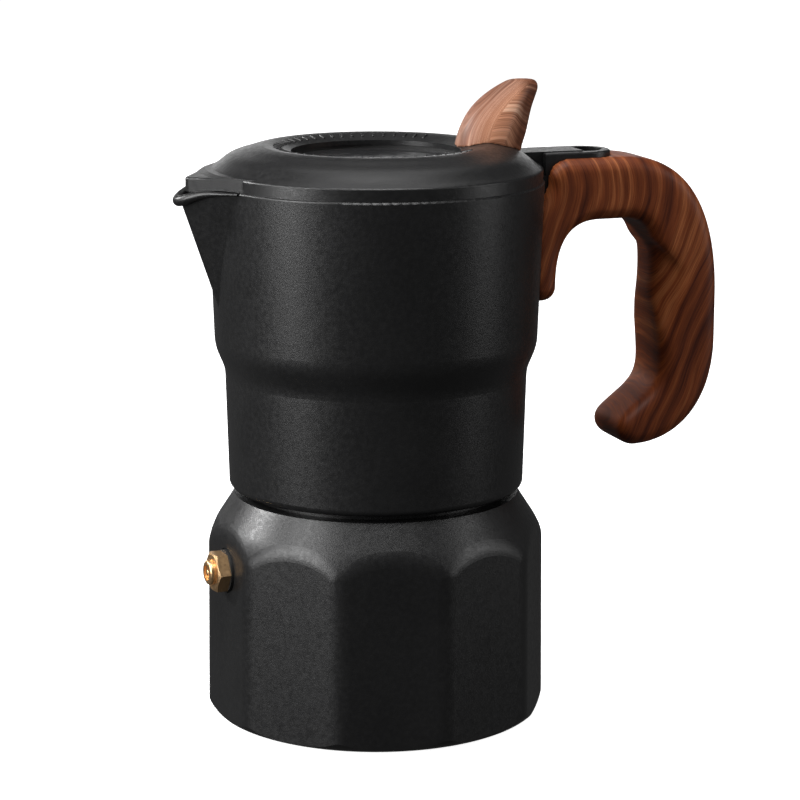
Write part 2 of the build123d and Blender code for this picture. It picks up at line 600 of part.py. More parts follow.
def collector_arm():
    """Cast arm behind the rim: two cheeks for the hinge over a solid floor for the handle's screw."""
    low = RIM_Z - ARM_DEPTH
    cheek_top = RIM_Z + ARM_RISE
    in_wall = CHAMBER_RIM_RADIUS + 1
    arm = arm_plan(CHEEK_OUTER, ARM_END_X, low, RIM_Z, in_wall)
    cheeks = arm_plan(CHEEK_OUTER, ARM_END_X, RIM_Z, cheek_top, COLLECTOR_RIM_RADIUS + LID_GAP)
    cheeks = fillet(cheeks.edges().group_by(Axis.Z)[-1], CHEEK_EDGE_RADIUS)
    slot = arm_plan(CHEEK_INNER, ARM_END_X - CHEEK_WALL, SLOT_FLOOR, cheek_top, in_wall)
    rim_keep = rod(COLLECTOR_RIM_RADIUS, SLOT_FLOOR, RIM_Z)
    pin_hole = cross_rod(PIN_RADIUS, 2 * CHEEK_OUTER, HINGE_X, HINGE_Z)
    lid_room = rod(COLLECTOR_RIM_RADIUS + LID_GAP, RIM_Z, cheek_top)
    return (arm + cheeks) - (slot - rim_keep) - pin_hole - lid_room


def chamber_inside():
    """The coffee space, from the crowned floor to above the rim."""
    low, step, high = collector_side(-COLLECTOR_WALL)
    edge_x = (low @ 0.72).X
    open_top = RIM_Z + FLOOR_THICKNESS
    return turned(
        Line((edge_x, FLOOR_Z), low @ 1), step, high,
        Polyline(high @ 1, (CHAMBER_RIM_RADIUS, open_top), (0, open_top), (0, FLOOR_Z + FLOOR_CROWN),
                 (COLUMN_BASE_RADIUS, FLOOR_Z + FLOOR_CROWN), (edge_x, FLOOR_Z)),
    )


def skirt_socket():
    """What is open under the chamber's floor: the thread's bore, the gasket's seat and the plenum."""
    plenum_top = SEAT_Z + PLENUM_RISE
    throat = COLUMN_FOOT_RADIUS + 2
    return turned_polygon(
        (0, COLLECTOR_BOTTOM), (SKIRT_RADIUS, COLLECTOR_BOTTOM), (SKIRT_RADIUS, SEAT_Z),
        (PLENUM_RADIUS, SEAT_Z), (throat, plenum_top), (COLUMN_FOOT_RADIUS, plenum_top),
        (COLUMN_FOOT_RADIUS, FLOOR_Z + 2 * FLOOR_CROWN), (0, FLOOR_Z + 2 * FLOOR_CROWN))


def collector_body():
    """Stepped drum with spout and arm outside, chamber above its floor and thread below it."""
    body = collector_outside()
    body = fillet(body.edges().group_by(Axis.Z)[0], COLLECTOR_FOOT_RADIUS)
    body = fillet(body.edges().group_by(Axis.Z)[-1], COLLECTOR_RIM_EDGE)
    body = body + spout_form(0, RIM_Z) + collector_arm()
    body = body - chamber_inside() - spout_form(SPOUT_WALL, RIM_Z + 1) - spout_dip()
    body = body + (spout_lip() - chamber_inside()) - skirt_socket()
    first_ridge = LAND_Z + NECK_THREAD_RISE + THREAD_PITCH / 2 - SKIRT_THREAD_DROP
    for ridge in thread_ridges(SKIRT_RADIUS + THREAD_BITE, SKIRT_CREST, first_ridge):
        body = body + ridge
    return body - rod(SCREW_RADIUS, RIM_Z - ARM_DEPTH, SLOT_FLOOR - SCREW_END_GAP, x=SCREW_X)


def collector_column():
    """Riser in the chamber: foot in the floor, tapered tube, rounded top over two side outlets."""
    foot_low = SEAT_Z + PLENUM_RISE
    base = FLOOR_Z + FLOOR_CROWN
    top = RIM_Z - COLUMN_DROP
    bore_top = top - COLUMN_CROWN_RADIUS
    outside = turned_polygon((0, foot_low), (COLUMN_FOOT_RADIUS, foot_low), (COLUMN_FOOT_RADIUS, base),
                             (COLUMN_BASE_RADIUS, base), (COLUMN_RADIUS, top), (0, top))
    outside = fillet(outside.edges().group_by(Axis.Z)[-1], COLUMN_CROWN_RADIUS)
    bore = rod(COLUMN_FOOT_RADIUS - COLUMN_WALL, foot_low, bore_top)
    outlet = Pos(0, 0, bore_top - OUTLET_HEIGHT) * Box(OUTLET_WIDTH, 4 * COLUMN_RADIUS, OUTLET_HEIGHT)
    return outside - bore - outlet


# ------------------------------------------------------------------ hinge pin
def hinge_pin():
    return cross_rod(PIN_RADIUS, 2 * CHEEK_OUTER, HINGE_X, HINGE_Z)


# ------------------------------------------------------------------ handle
def handle_outline():
    """Side view: arm over the pot's leg, grip that hangs down, toe curled toward the pot."""
    front_x = COLLECTOR_RIM_RADIUS + HANDLE_SETBACK
    inside_x = STEP_UPPER_RADIUS - 4              # hidden in the pot, cut away to fit its side
    leg_x = COLLECTOR_RIM_RADIUS + LEG_SETBACK
    leg_z = RIM_Z - LEG_DROP
    toe_z = RIM_Z - GRIP_DROP
    toe_x = GRIP_BACK_X - TOE_LENGTH
    gap_x = GRIP_INNER_X - GAP_FLAT

    corner = JernArc((front_x + HANDLE_CORNER, HANDLE_TOP), (-1, 0), HANDLE_CORNER, 90)
    seat_z = HANDLE_TOP - 17
    seat = Bezier(corner @ 1, (front_x, seat_z + 7), (inside_x, seat_z + 5), (inside_x, seat_z))
    heel = JernArc((inside_x, leg_z + LEG_CORNER), (0, -1), LEG_CORNER, 90)
    foot = JernArc((leg_x - LEG_CORNER, leg_z), (1, 0), LEG_CORNER, 90)
    leg = Bezier(foot @ 1, (leg_x, leg_z + 14), (gap_x - 8, HANDLE_UNDERSIDE), (gap_x, HANDLE_UNDERSIDE))

    gap_corner = JernArc((GRIP_INNER_X - GAP_CORNER, HANDLE_UNDERSIDE), (1, 0), GAP_CORNER, -90)
    waist = (GRIP_INNER_X + GRIP_WAIST, toe_z + 19)
    inner = Bezier(gap_corner @ 1, (GRIP_INNER_X, waist[1] + 21), (waist[0] + 0.2, waist[1] + 8), waist)
    fall = (math.cos(math.radians(TOE_SLOPE)), math.sin(math.radians(TOE_SLOPE)))
    toe_top = (toe_x + TOE_RADIUS * (1 - fall[1]), toe_z + TOE_RADIUS * (1 + fall[0]))
    hook = Bezier(waist, (waist[0] - 0.2, waist[1] - 5.5),
                  (toe_top[0] + 8 * fall[0], toe_top[1] + 8 * fall[1]), toe_top)
    toe = JernArc(toe_top, (-fall[0], -fall[1]), TOE_RADIUS, 180 - TOE_SLOPE)

    back_low = (GRIP_BACK_X, toe_z + 26)
    back_high = (GRIP_BACK_X, HANDLE_TOP - 35)
    sole = Bezier(toe @ 1, (GRIP_BACK_X - 10.2, toe_z), (GRIP_BACK_X, toe_z + 8.4), back_low)
    brow = Bezier(back_high, (GRIP_BACK_X, HANDLE_TOP - 14), (GRIP_BACK_X - 7.7, HANDLE_TOP),
                  (GRIP_BACK_X - 24.7, HANDLE_TOP))
    return (corner, seat, Line(seat @ 1, heel @ 0), heel, Line(heel @ 1, foot @ 0), foot, leg,
            Line(leg @ 1, gap_corner @ 0), gap_corner, inner, hook, toe, sole,
            Line(back_low, back_high), brow, Line(brow @ 1, corner @ 0))


def grip_round():
    """What is worked off the grip's inner side, from a slanted line under the arm down to the toe."""
    half = HANDLE_WIDTH / 2
    toe_z = RIM_Z - GRIP_DROP
    low = toe_z + 11
    plans = []
    for z, out in ((HANDLE_UNDERSIDE, 0.3), (toe_z + 32, 0.0), (low, 9.5)):
        centre_x = GRIP_INNER_X - out + GRIP_NOSE
        side = (GRIP_NOSE, half - GRIP_FLAT_HALF)
        left = EllipticalCenterArc((centre_x, GRIP_FLAT_HALF), *side, start_angle=90, arc_size=90)
        right = EllipticalCenterArc((centre_x, -GRIP_FLAT_HALF), *side, start_angle=180, arc_size=90)
        back = Polyline(right @ 1, (GRIP_BACK_X, -half), (GRIP_BACK_X, half), left @ 0)
        plans.append(Pos(0, 0, z) * closed(left, Line(left @ 1, right @ 0), right, back))
    start_z = HANDLE_UNDERSIDE - GAP_CORNER + 1.5
    front_x = GRIP_INNER_X - 12
    side = Polyline((front_x, start_z), (GRIP_INNER_X, start_z), (GRIP_INNER_X + 12, start_z - 12),
                    (GRIP_INNER_X + 12, low), (front_x, low), close=True)
    return extrude(Plane.XZ * make_face(side.edges()), amount=half + 1, both=True) - loft(plans)


def handle_grip():
    """Wooden handle, slotted from above over the arm and hollowed to the collector's side."""
    blank = extrude(Plane.XZ * closed(*handle_outline()), amount=HANDLE_WIDTH / 2, both=True)
    side_edges = [edge for edge in blank.edges() if abs(abs(edge.center().Y) - HANDLE_WIDTH / 2) < 0.01]
    grip = fillet(side_edges, HANDLE_EDGE_RADIUS) - grip_round()
    lid_room = rod(COLLECTOR_RIM_RADIUS + LID_GAP, RIM_Z, HANDLE_TOP)
    arm_room = arm_plan(CHEEK_OUTER + HANDLE_FIT, ARM_END_X + HANDLE_FIT, RIM_Z - ARM_DEPTH - HANDLE_FIT,
                        HANDLE_TOP, COLLECTOR_RIM_RADIUS - HANDLE_CORNER)
    recess = rod(SCREW_RECESS_RADIUS, HANDLE_UNDERSIDE, WASHER_Z + WASHER_THICKNESS, x=SCREW_X)
    hole = rod(SCREW_RADIUS + SCREW_FIT, HANDLE_UNDERSIDE, RIM_Z, x=SCREW_X)
    return grip - collector_outside(HANDLE_FIT) - lid_room - arm_room - recess - hole


def handle_screw():
    """Screw up through the handle into the arm."""
    tip_z = SLOT_FLOOR - SCREW_END_GAP - 0.1
    return pan_screw(SCREW_X, WASHER_Z, SCREW_HEAD_RADIUS, SCREW_HEAD_HEIGHT, SCREW_RADIUS, tip_z)


def handle_washer():
    outer = SCREW_RECESS_RADIUS - SCREW_FIT
    return ring(outer, SCREW_RADIUS, WASHER_Z, WASHER_Z + WASHER_THICKNESS, x=SCREW_X)


# ------------------------------------------------------------------ lid
def lid_top_curves():
    """The lid's upper surface, from the band's foot to the opening over the window."""
    band_top = (LID_RADIUS, LID_BAND_TOP)
    crest = (LID_CREST_RADIUS, LID_CREST_Z)
    return (
        Line((LID_RADIUS, RIM_Z), band_top),
        Spline(band_top, (LID_RADIUS - 0.8, LID_SHOULDER_Z), (LID_RADIUS - 4.4, LID_SHOULDER_Z + 2.6),
               (LID_CREST_RADIUS + 4.6, LID_CREST_Z - 1.15), crest, tangents=((-0.3, 1), (-1, 0.1))),
        Spline(crest, (LID_CREST_RADIUS - 1.6, LID_CREST_Z - 0.1), (WINDOW_OPENING, WINDOW_RIM_Z),
               tangents=((-1, 0.1), (-1, -0.24))),
    )


def lid_envelope():
    """The lid as if solid: what the knob stands on."""
    band, slope, window_ring = lid_top_curves()
    return turned(band, slope, window_ring,
                  Polyline(window_ring @ 1, (0, WINDOW_RIM_Z), (0, RIM_Z), (LID_RADIUS, RIM_Z)))


def lid_tongue():
    """Tongue behind the rim that ends in the hinge knuckle."""
    top = HINGE_Z + KNUCKLE_RADIUS
    bar = slab(LOCATOR_RADIUS - LID_WALL, HINGE_X, TONGUE_WIDTH / 2, top - TONGUE_THICKNESS, top)
    return bar + cross_rod(KNUCKLE_RADIUS, TONGUE_WIDTH, HINGE_X, HINGE_Z)


def beak_plan(low, high, inset=0.0):
    """Plan of the beak over the spout, as an upright solid; inset moves its sides inward."""
    tip = COLLECTOR_RIM_RADIUS + BEAK_LENGTH
    root = math.sqrt(COLLECTOR_RIM_RADIUS ** 2 - BEAK_HALF_WIDTH ** 2)
    back = LOCATOR_RADIUS - 6
    slope = BEAK_HALF_WIDTH / (tip - root)
    nose = tip - inset * math.hypot(1, 1 / slope)
    return extrude(vee(-nose, (nose - back) * slope, -back, low, BEAK_NOSE), amount=high - low)


def beak_section(drop, low):
    """Turned section whose top is the beak's, lowered by drop, down to a height."""
    inner_x = LOCATOR_RADIUS - LID_LOCATOR_WALL - 1
    high = LID_SHOULDER_Z - drop
    kink_x = COLLECTOR_RIM_RADIUS + BEAK_KINK
    tip_x = COLLECTOR_RIM_RADIUS + BEAK_LENGTH + 1
    return turned_polygon((inner_x, low), (inner_x, high), (kink_x - 1.5, high),
                          (kink_x, high - BEAK_KINK_DROP), (tip_x, high - BEAK_FALL), (tip_x, low))


def lid_beak():
    """Visor over the spout: thin top, and side walls that stop just above the spout's edge."""
    low = RIM_Z - BEAK_SKIRT
    outside = beak_section(0, low) & beak_plan(low, LID_CREST_Z)
    beyond = [edge for edge in outside.edges() if edge.center().X < -COLLECTOR_RIM_RADIUS - BEAK_KINK]
    top_edges = [edge for edge in beyond if edge.center().Z > LID_BAND_TOP - BEAK_FALL]
    outside = fillet(top_edges, BEAK_EDGE_RADIUS)
    fall = spout_fall(BEAK_GAP)
    start, end = fall @ 0, fall @ 1
    floor = RIM_Z - 2 * SPOUT_DIP
    under = Polyline(end, (end.X, floor), (0, floor), (0, start.Y), start)
    return outside - extrude(Plane.XZ * closed(fall, under), amount=2 * BEAK_HALF_WIDTH, both=True)


def beak_room():
    """What is hollow under the beak, through the lid's band and locating lip."""
    low = RIM_Z - LID_LOCATOR_DEPTH
    return beak_section(BEAK_WALL, low) & beak_plan(low, LID_CREST_Z, BEAK_WALL)


def lid_shell():
    """Domed ring with a band and locating lip at the rim, a beak, a tongue and a ledge for the window."""
    band, slope, window_ring = lid_top_curves()
    under = LID_CREST_Z - LID_WALL - 0.4
    lip_low = RIM_Z - LID_LOCATOR_DEPTH
    lip_inner = LOCATOR_RADIUS - LID_LOCATOR_WALL
    collar = LEDGE_RADIUS + WINDOW_COLLAR_WALL
    inside = Polyline(
        window_ring @ 1, (WINDOW_OPENING, LEDGE_Z), (LEDGE_RADIUS, LEDGE_Z), (LEDGE_RADIUS, RETAINER_LOW),
        (collar, RETAINER_LOW), (collar, under), (LID_CREST_RADIUS, under),
        (lip_inner, LID_SHOULDER_Z - 0.6), (lip_inner, lip_low),
        (LOCATOR_RADIUS, lip_low), (LOCATOR_RADIUS, RIM_Z), (LID_RADIUS, RIM_Z))
    shell = turned(band, slope, window_ring, inside)
    boss = rod(LID_BOSS_RADIUS, LID_BOSS_LOW, LID_CREST_Z, x=KNOB_SCREW_X) & lid_envelope()
    tongue = lid_tongue() - rod(lip_inner, RIM_Z, LID_CREST_Z)
    shell = shell + lid_beak() - beak_room() + boss + tongue
    shell = shell - cross_rod(PIN_RADIUS + PIN_CLEARANCE, 2 * TONGUE_WIDTH, HINGE_X, HINGE_Z)
    return shell - rod(LID_SCREW_RADIUS + SCREW_FIT, LID_BOSS_LOW, LID_CREST_Z, x=KNOB_SCREW_X)


def window_seal():
    return ring(LEDGE_RADIUS, LEDGE_RADIUS - SEAL_WIDTH, WINDOW_TOP, LEDGE_Z)


def window_pane():
    return rod(LEDGE_RADIUS, WINDOW_BOTTOM, WINDOW_TOP)


def window_retainer():
    return ring(LEDGE_RADIUS, LEDGE_RADIUS - RETAINER_WIDTH, RETAINER_LOW, WINDOW_BOTTOM)


# ------------------------------------------------------------------ knob
# Plan sections of the fin: share of its height, how far the nose and the back stand behind their
# places at the lid, and the shares of the full half-width and of the back's half-width
KNOB_SECTIONS = (
    (0.00, -0.3, 0.4, 1.00, 1.00),
    (0.40, 1.0, -0.2, 0.97, 0.95),
    (0.62, 3.1, 1.2, 0.86, 0.80),
    (0.80, 6.5, 2.7, 0.68, 0.60),
    (0.93, 10.6, 3.6, 0.48, 0.42),
    (1.00, 13.6, 2.6, 0.32, 0.30),
)


def knob_section(height, nose_x, rear_x, half_width, rear_half):
    """Plan section: rounded nose, side that widens to a crease, bevel, narrow flat back."""
    crease_x = rear_x - KNOB_BEVEL * half_width / KNOB_HALF_WIDTH
    nose = Spline((crease_x, -half_width), (nose_x, 0), (crease_x, half_width),
                  tangents=((-1, -0.15), (1, -0.15)))
    back = Polyline((crease_x, half_width), (rear_x, rear_half), (rear_x, -rear_half),
                    (crease_x, -half_width))
    return Pos(0, 0, height) * make_face([*nose.edges(), *back.edges()])


def knob():
    """Fin that leans back, from the lid's slope to the tip, hollowed underneath to fit the lid."""
    root_z = RIM_Z + KNOB_ROOT
    sections = []
    for share, nose, rear, wide, rear_wide in KNOB_SECTIONS:
        sections.append(knob_section(root_z + share * (KNOB_TOP - root_z), KNOB_REAR_X - KNOB_LENGTH + nose,
                                     KNOB_REAR_X + rear, KNOB_HALF_WIDTH * wide, KNOB_REAR_HALF * rear_wide))
    fin = loft(sections)
    fin = fillet(fin.edges().group_by(Axis.Z)[-1], KNOB_TIP_RADIUS)
    fin = fin - lid_envelope() - lid_tongue()
    return fin - rod(LID_SCREW_RADIUS, RIM_Z, LID_CREST_Z + LID_SCREW_REACH + SCREW_END_GAP, x=KNOB_SCREW_X)


def knob_screw():
    """Screw up through the lid's boss into the knob."""
    seat_z = LID_BOSS_LOW - WASHER_THICKNESS
    tip_z = LID_CREST_Z + LID_SCREW_REACH
    return pan_screw(KNOB_SCREW_X, seat_z, LID_SCREW_HEAD_RADIUS, LID_SCREW_HEAD_HEIGHT,
                     LID_SCREW_RADIUS, tip_z)


def knob_washer():
    outer = LID_BOSS_RADIUS - SCREW_FIT
    return ring(outer, LID_SCREW_RADIUS, LID_BOSS_LOW - WASHER_THICKNESS, LID_BOSS_LOW, x=KNOB_SCREW_X)


# ------------------------------------------------------------------ files
PARTS = (
    boiler_body, valve_body, valve_washer, valve_plunger, valve_spring, valve_retainer,
    funnel_cup, funnel_tube, funnel_screen, gasket, filter_plate,
    collector_body, collector_column, hinge_pin, handle_grip, handle_screw, handle_washer,
    lid_shell, window_seal, window_pane, window_retainer, knob, knob_screw, knob_washer,
)

if __name__ == "__main__":
    os.makedirs("parts", exist_ok=True)
    for build in PARTS:
        export_step(build(), f"parts/{build.__name__}.step")
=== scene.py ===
import math

import bmesh
import bpy
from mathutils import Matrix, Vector
from mathutils.bvhtree import BVHTree


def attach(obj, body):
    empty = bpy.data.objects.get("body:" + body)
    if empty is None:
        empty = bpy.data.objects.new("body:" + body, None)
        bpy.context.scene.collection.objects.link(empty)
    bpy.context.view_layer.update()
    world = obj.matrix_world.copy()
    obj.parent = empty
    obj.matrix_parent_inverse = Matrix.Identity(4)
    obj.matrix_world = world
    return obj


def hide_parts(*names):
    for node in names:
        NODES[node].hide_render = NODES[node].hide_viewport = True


# A moka pot in metres, in the frame of its CAD model: +Z up, handle toward +X, spout toward -X.
MM = 0.001
MICRON = 1e-6


# ------------------------------------------------------------------ frame
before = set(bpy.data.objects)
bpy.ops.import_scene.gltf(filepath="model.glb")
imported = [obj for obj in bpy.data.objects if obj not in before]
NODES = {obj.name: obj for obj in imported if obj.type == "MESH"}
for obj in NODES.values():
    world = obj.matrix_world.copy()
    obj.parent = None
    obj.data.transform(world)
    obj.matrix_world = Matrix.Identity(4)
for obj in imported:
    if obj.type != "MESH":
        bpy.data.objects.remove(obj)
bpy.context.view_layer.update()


# ------------------------------------------------------------------ object and mesh helpers
SMOOTH_ANGLE = math.radians(32)


def put_in_scene(name, data):
    """A new object in the scene, which shows the given mesh, light or camera."""
    item = bpy.data.objects.new(name, data)
    bpy.context.scene.collection.objects.link(item)
    return item


def smooth(mesh):
    mesh.polygons.foreach_set("use_smooth", [True] * len(mesh.polygons))


def smooth_but_sharp(mesh):
    """Smooth faces, split only at open edges and those sharper than the limit."""
    smooth(mesh)
    work = bmesh.new()
    work.from_mesh(mesh)
    sharp = [not edge.is_manifold or edge.calc_face_angle(0.0) > SMOOTH_ANGLE
             for edge in work.edges]
    work.free()
    mesh.edges.foreach_set("use_edge_sharp", sharp)


def direction(azimuth, elevation):
    """Unit vector from the pot, in degrees. Azimuth 0 is in front (-Y), positive toward +X."""
    turn, rise = math.radians(azimuth), math.radians(elevation)
    return Vector((math.sin(turn) * math.cos(rise),
                   -math.cos(turn) * math.cos(rise),
                   math.sin(rise)))


# ------------------------------------------------------------------ shader helpers
class Shader:
    """A material's node tree, with short calls for the nodes that the finishes share."""

    def __init__(self, name):
        self.material = bpy.data.materials.new(name)
        self.material.use_nodes = True
        self.tree = self.material.node_tree
        self.tree.nodes.clear()
        self.surface = self.node("ShaderNodeBsdfPrincipled")
        output = self.node("ShaderNodeOutputMaterial")
        self.link(self.surface.outputs["BSDF"], output.inputs["Surface"])
        self.place = self.node("ShaderNodeTexCoord").outputs["Object"]

    def node(self, kind, **settings):
        made = self.tree.nodes.new(kind)
        for key, value in settings.items():
            setattr(made, key, value)
        return made

    def link(self, output, socket):
        self.tree.links.new(output, socket)

    def put(self, socket, value):
        """Links an output to a socket, or sets a plain value on it."""
        if isinstance(value, bpy.types.NodeSocket):
            self.link(value, socket)
        else:
            socket.default_value = value

    def set(self, **values):
        """Sets or links the surface shader's own sockets, with _ for a space in their names."""
        for name, value in values.items():
            self.put(self.surface.inputs[name.replace("_", " ")], value)

    def math(self, operation, first, second=0.0, clamp=False):
        made = self.node("ShaderNodeMath", operation=operation, use_clamp=clamp)
        self.put(made.inputs[0], first)
        self.put(made.inputs[1], second)
        return made.outputs[0]

    def add(self, first, second):
        return self.math("ADD", first, second)

    def subtract(self, first, second):
        return self.math("SUBTRACT", first, second)

    def times(self, first, second, clamp=False):
        return self.math("MULTIPLY", first, second, clamp)

    def split(self, vector):
        made = self.node("ShaderNodeSeparateXYZ")
        self.link(vector, made.inputs[0])
        return made.outputs

    def join(self, x, y, z):
        made = self.node("ShaderNodeCombineXYZ")
        for socket, value in zip(made.inputs, (x, y, z)):
            self.put(socket, value)
        return made.outputs[0]

    def stretch(self, vector, scale):
        made = self.node("ShaderNodeMapping")
        self.link(vector, made.inputs["Vector"])
        made.inputs["Scale"].default_value = scale
        return made.outputs[0]

    def noise(self, vector, scale, detail=2.0, roughness=0.5):
        made = self.node("ShaderNodeTexNoise")
        self.link(vector, made.inputs["Vector"])
        made.inputs["Scale"].default_value = scale
        made.inputs["Detail"].default_value = detail
        made.inputs["Roughness"].default_value = roughness
        return made.outputs["Fac"]

    def spread(self, value, low, high, out_low=0.0, out_high=1.0):
        """The value, moved from the range low to high to the range out_low to out_high."""
        made = self.node("ShaderNodeMapRange")
        for name, setting in (("Value", value), ("From Min", low), ("From Max", high),
                              ("To Min", out_low), ("To Max", out_high)):
            self.put(made.inputs[name], setting)
        return made.outputs[0]

    def ramp(self, value, *stops):
        """A colour ramp of (place, colour) stops."""
        made = self.node("ShaderNodeValToRGB")
        self.link(value, made.inputs[0])
        points = made.color_ramp.elements
        while len(points) < len(stops):
            points.new(0.5)
        for point, (place, colour) in zip(points, stops):
            point.position = place
            point.color = (*colour, 1)
        return made.outputs[0]

    def mix(self, share, first, second, blend="MIX"):
        made = self.node("ShaderNodeMix", data_type="RGBA", blend_type=blend)
        self.put(made.inputs["Factor"], share)
        for socket, value in ((made.inputs[6], first), (made.inputs[7], second)):
            self.put(socket, (*value, 1) if isinstance(value, tuple) else value)
        return made.outputs[2]

    def bump(self, height, strength, distance, under=None):
        """A normal raised by height, over another bump's normal if one is given."""
        made = self.node("ShaderNodeBump")
        self.link(height, made.inputs["Height"])
        made.inputs["Strength"].default_value = strength
        made.inputs["Distance"].default_value = distance
        if under is not None:
            self.link(under, made.inputs["Normal"])
        return made.outputs[0]


def grey(level):
    return (level, level, level)


def darker(colour, share):
    return tuple(share * channel for channel in colour)


# ------------------------------------------------------------------ finishes
# Noise scales are in cycles per metre. Colours are linear RGB.
COATING_DARK = (0.0065, 0.0065, 0.0068)
COATING_LIGHT = (0.0095, 0.0095, 0.0098)
GLASS_DARK = (0.10, 0.10, 0.105)
GLASS_LIGHT = (0.14, 0.14, 0.145)
GLASS_IOR = 1.47


def coating():
    """Matte black non-stick coating: sandy grain over a slight orange peel."""
    s = Shader("black_coating")
    grain = s.noise(s.place, 2100, detail=3, roughness=0.75)
    peel = s.noise(s.place, 420, detail=1.5)
    cloud = s.noise(s.place, 60, detail=3)
    gloss = s.noise(s.place, 900, detail=2)
    s.set(Base_Color=s.mix(s.spread(cloud, 0.3, 0.7), COATING_DARK, COATING_LIGHT),
          Roughness=s.spread(gloss, 0.3, 0.7, 0.31, 0.43),
          Specular_IOR_Level=0.45,
          Normal=s.bump(grain, 0.62, 55 * MICRON, s.bump(peel, 0.25, 70 * MICRON)))
    return s.material


def metal(name, colour, rough, scale, strength):
    """Bare metal with a fine machined or cast grain."""
    s = Shader(name)
    grain = s.noise(s.place, scale, detail=3, roughness=0.6)
    dull = s.noise(s.place, 90, detail=3)
    s.set(Base_Color=s.mix(s.spread(dull, 0.35, 0.7), colour, darker(colour, 0.82)),
          Metallic=1.0,
          Roughness=s.spread(grain, 0.3, 0.7, rough * 0.8, rough * 1.25),
          Normal=s.bump(grain, strength, 30 * MICRON))
    return s.material


def silicone(name, colour, rough):
    """Moulded silicone, slightly mottled."""
    s = Shader(name)
    grain = s.noise(s.place, 1500, detail=2)
    s.set(Base_Color=s.mix(s.noise(s.place, 120), colour, darker(colour, 0.8)),
          Roughness=s.spread(grain, 0.3, 0.7, rough - 0.06, rough + 0.06),
          Specular_IOR_Level=0.35,
          Normal=s.bump(grain, 0.2, 25 * MICRON))
    return s.material


def smoked_glass():
    """Tinted window with a faint moulding ripple."""
    s = Shader("smoked_glass")
    ripple = s.noise(s.stretch(s.place, (1, 4, 1)), 60, detail=2)
    s.set(Base_Color=s.mix(s.noise(s.place, 40), GLASS_DARK, GLASS_LIGHT),
          Roughness=s.spread(s.noise(s.place, 300), 0.3, 0.7, 0.05, 0.11),
          Transmission_Weight=0.8, IOR=GLASS_IOR,
          Normal=s.bump(ripple, 0.12, 120 * MICRON))
    return s.material


# ------------------------------------------------------------------ walnut
WALNUT = ((0.062, 0.0100, 0.0024), (0.200, 0.046, 0.0112), (0.47, 0.162, 0.056))
WALNUT_FACE = ((0.20, 0.068, 0.034), (0.52, 0.240, 0.140), (0.88, 0.58, 0.42))
RING_TONES = ((0.0, grey(0.45)), (0.40, grey(0.75)), (0.78, grey(0.30)), (1.0, grey(0.45)))
FIBRE_DARK = (0.3, 0.22, 0.18)
FIBRE_LIGHT = grey(1.25)
RING_WANDER = 1.5                         # in ring widths
RING_UNEVENNESS = 2.4                     # in ring widths


def wood(name, grain_line, ring, tone, fibre_count, shade=None):
    """Satin walnut whose growth rings are ring wide, in metres, in three tones, dark to light.

    grain_line(shader, x, y, z) gives the distance across the grain, in metres. fibre_count is
    the fibres in a ring's width. shade(shader, x, z) gives painted shade and painted light: a
    tint that darkens or lightens parts of the board where less or more light falls on them.
    """
    s = Shader(name)
    x, y, z = s.split(s.place)
    across = grain_line(s, x, y, z)
    wander = s.subtract(s.noise(s.place, 30, detail=2), 0.5)
    across = s.add(across, s.times(wander, RING_WANDER * ring))

    def along(count, run, detail, roughness):
        """Noise that varies count times in a ring's width, and slowly along the grain."""
        place = s.join(s.times(across, count / ring), s.times(y, run), s.times(z, run))
        return s.noise(place, 1.0, detail=detail, roughness=roughness)

    width = along(0.55, 12, 1.0, 0.5)
    turns = s.add(s.times(across, 1 / ring), s.times(width, RING_UNEVENNESS))
    rings = s.ramp(s.math("FRACT", turns), *RING_TONES)
    broad = along(0.35, 8, 1.5, 0.5)
    lines = along(3.2, 18, 4.0, 0.7)
    fibres = along(fibre_count, 140, 3.0, 0.6)
    body = s.add(s.times(rings, 0.26), s.add(s.times(broad, 0.34), s.times(lines, 0.50)))
    dark, middle, light = tone
    colour = s.ramp(s.spread(body, 0.39, 0.75), (0.0, dark), (0.5, middle), (1.0, light))
    fine = s.mix(s.spread(fibres, 0.34, 0.66), FIBRE_DARK, FIBRE_LIGHT)
    colour = s.mix(0.6, colour, fine, "MULTIPLY")
    # Painted shade and painted light: the board's colour is multiplied by the given tint.
    if shade is not None:
        colour = s.mix(1.0, colour, shade(s, x, z), "MULTIPLY")
    s.set(Base_Color=colour,
          Roughness=s.spread(fibres, 0.3, 0.7, 0.42, 0.56),
          Specular_IOR_Level=0.25,
          Normal=s.bump(fibres, 0.3, 60 * MICRON, s.bump(lines, 0.2, 120 * MICRON)))
    return s.material


ARM_Z = 126 * MM                          # where the handle's grain bulges
ARM_BULGE_SPAN = 6.0 * MM
ARM_BULGE_SLOPE = 2.7 * MM

NOSE_FOOT_Z = 131 * MM
NOSE_HEIGHT = 21.5 * MM
NOSE_LEAN = 14 * MM                       # how far back the nose's tip is from its foot
# Painted shade and painted light on the knob: its nose is painted darker, where less light
# falls, and the rest of its face lighter, where more falls.
NOSE_PAINTED_SHADE = (19.6 * MM, 24.6 * MM)        # along the straightened X: fully dark, fully light
NOSE_PAINTED_SHADE_TINT = (0.36, 0.34, 0.36)
FACE_PAINTED_LIGHT_TINT = (1.12, 1.12, 1.10)
GRAIN_LEVELS_OFF = (21.5 * MM, 25.5 * MM)
GRAIN_FALL = -0.9                         # of the level grain across the knob's rear half
GRAIN_ARCH = 9 * MM
# Painted shade behind the crease of the knob's sides, where its rear faces turn from the light:
# the crease's foot, its slant, the span over which the shade comes in, and its tint.
CREASE_FOOT_Z = 136 * MM
CREASE_SLOPE = 0.22
PAINTED_SHADE_BEHIND_CREASE = (31.0 * MM, 34.0 * MM)
PAINTED_SHADE_BEHIND_CREASE_TINT = (0.40, 0.31, 0.26)


